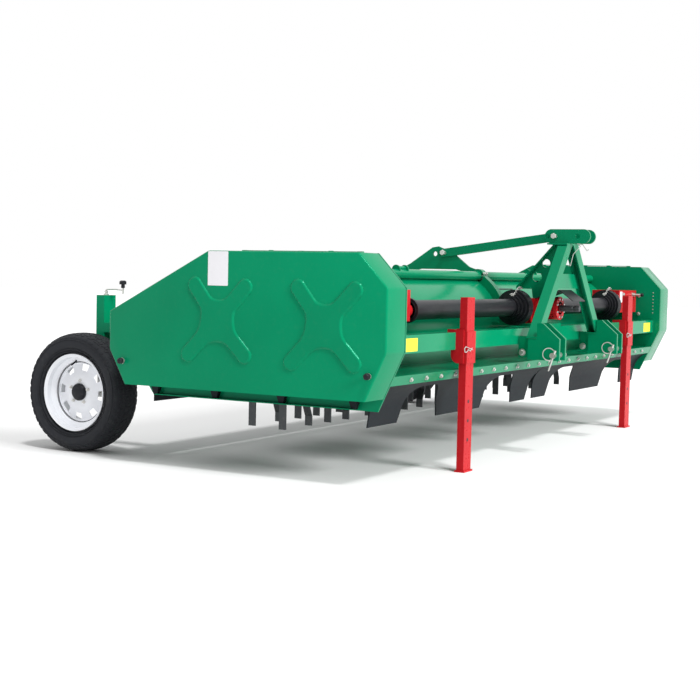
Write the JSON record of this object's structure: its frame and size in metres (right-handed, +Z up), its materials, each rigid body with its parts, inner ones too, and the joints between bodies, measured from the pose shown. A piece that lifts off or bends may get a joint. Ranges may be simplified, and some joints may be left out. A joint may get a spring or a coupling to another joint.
{
  "type": "haulm topper",
  "caption": "Rear-mounted flail topper that strips potato haulm from the ridges: rotor under a hood, arched curtain, three-point hitch, belt drives, stands and depth wheels.",
  "frame": {"origin": "on the ground, at the middle of the machine's width and length", "axes": "+X to the machine's left-hand side, -Y to its front where the tractor is, +Z up"},
  "size_m": [4.056, 2.337, 1.176],
  "materials": {
    "green_paint": "gloss",
    "red_paint": "gloss",
    "white_paint": "gloss",
    "bare_steel": "dull",
    "zinc": "satin",
    "black_plastic": "matt",
    "black_rubber": "matt",
    "tyre_rubber": "matt"
  },
  "bodies": {
    "frame": {"right_end_plate": "green_paint", "left_end_plate": "green_paint", "hood": "green_paint", "front_top_tube": "green_paint", "rear_top_tube": "green_paint", "front_beam": "green_paint", "rear_beam": "green_paint", "hood_rib": "green_paint", "front_lip": "green_paint", "rear_lip": "green_paint", "front_curtain": "black_rubber", "rear_curtain": "black_rubber", "rotor_bearings": "bare_steel", "gearbox": "red_paint", "gearbox_mount": "green_paint", "pto_shield": "black_plastic", "half_shaft_guards": "black_plastic", "hitch_pins": "zinc", "mast_head": "green_paint", "mast_cross_plate": "green_paint", "mast_brace": "green_paint", "top_tie": "green_paint", "tie_pins": "zinc", "tie_ear": "green_paint", "depth_cranks": "zinc", "right_bearing_housing": "red_paint", "left_bearing_housing": "red_paint", "right_belts": "black_rubber", "left_belts": "black_rubber", "right_hitch_bracket": "green_paint", "left_hitch_bracket": "green_paint", "right_mast_leg": "green_paint", "left_mast_leg": "green_paint", "right_stand_bracket": "red_paint", "left_stand_bracket": "red_paint", "right_wheel_post": "green_paint", "left_wheel_post": "green_paint"},
    "rotor": {"rotor_drum": "bare_steel", "flails_front_low": "bare_steel", "flails_rear_low": "bare_steel", "flails_front_high": "bare_steel", "flails_rear_high": "bare_steel", "right_rotor_pulley": "bare_steel", "left_rotor_pulley": "bare_steel"},
    "input_shaft": {"input_shaft": "bare_steel"},
    "right_half_shaft": {"right_half_shaft": "bare_steel", "right_drive_pulley": "bare_steel"},
    "right_side_cover": {"right_side_cover": "green_paint"},
    "right_stand": {"right_stand_leg": "red_paint"},
    "right_wheel_leg": {"right_wheel_leg": "zinc"},
    "right_wheel": {"right_tyre": "tyre_rubber", "right_rim": "white_paint"},
    "left_half_shaft": {"left_half_shaft": "bare_steel", "left_drive_pulley": "bare_steel"},
    "left_side_cover": {"left_side_cover": "green_paint"},
    "left_stand": {"left_stand_leg": "red_paint"},
    "left_wheel_leg": {"left_wheel_leg": "zinc"},
    "left_wheel": {"left_tyre": "tyre_rubber", "left_rim": "white_paint"}
  },
  "joints": [
    {"name": "rotor_spin", "type": "hinge", "parent": "frame", "child": "rotor", "pos_m": [0, -0.2435, 0.52], "axis": [1, 0, 0], "continuous": true},
    {"name": "input_spin", "type": "hinge", "parent": "frame", "child": "input_shaft", "pos_m": [0, -0.9835, 0.751], "axis": [0, 1, 0], "continuous": true},
    {"name": "right_half_shaft_spin", "type": "hinge", "parent": "frame", "child": "right_half_shaft", "pos_m": [-1, -0.7835, 0.751], "axis": [1, 0, 0], "continuous": true},
    {"name": "right_cover_hinge", "type": "hinge", "parent": "frame", "child": "right_side_cover", "pos_m": [-1.839, -0.4605, 1.005], "axis": [0, 1, 0], "range_deg": [0, 85]},
    {"name": "right_stand_slide", "type": "slide", "parent": "frame", "child": "right_stand", "axis": [0, 0, 1], "range_m": [0, 0.3]},
    {"name": "right_wheel_height", "type": "slide", "parent": "frame", "child": "right_wheel_leg", "axis": [0, 0, 1], "range_m": [-0.08, 0.13]},
    {"name": "right_wheel_spin", "type": "hinge", "parent": "right_wheel_leg", "child": "right_wheel", "pos_m": [-1.722, 0.8735, 0.295], "axis": [1, 0, 0], "continuous": true},
    {"name": "left_half_shaft_spin", "type": "hinge", "parent": "frame", "child": "left_half_shaft", "pos_m": [1, -0.7835, 0.751], "axis": [1, 0, 0], "continuous": true},
    {"name": "left_cover_hinge", "type": "hinge", "parent": "frame", "child": "left_side_cover", "pos_m": [1.839, -0.4605, 1.005], "axis": [0, -1, 0], "range_deg": [0, 85]},
    {"name": "left_stand_slide", "type": "slide", "parent": "frame", "child": "left_stand", "axis": [0, 0, 1], "range_m": [0, 0.3]},
    {"name": "left_wheel_height", "type": "slide", "parent": "frame", "child": "left_wheel_leg", "axis": [0, 0, 1], "range_m": [-0.08, 0.13]},
    {"name": "left_wheel_spin", "type": "hinge", "parent": "left_wheel_leg", "child": "left_wheel", "pos_m": [1.722, 0.8735, 0.295], "axis": [1, 0, 0], "continuous": true}
  ],
  "couplings": [
    {"joint": "input_spin", "follows": "rotor_spin", "ratio": 0.6651},
    {"joint": "right_half_shaft_spin", "follows": "rotor_spin", "ratio": 0.6651},
    {"joint": "left_half_shaft_spin", "follows": "rotor_spin", "ratio": 0.6651}
  ]
}
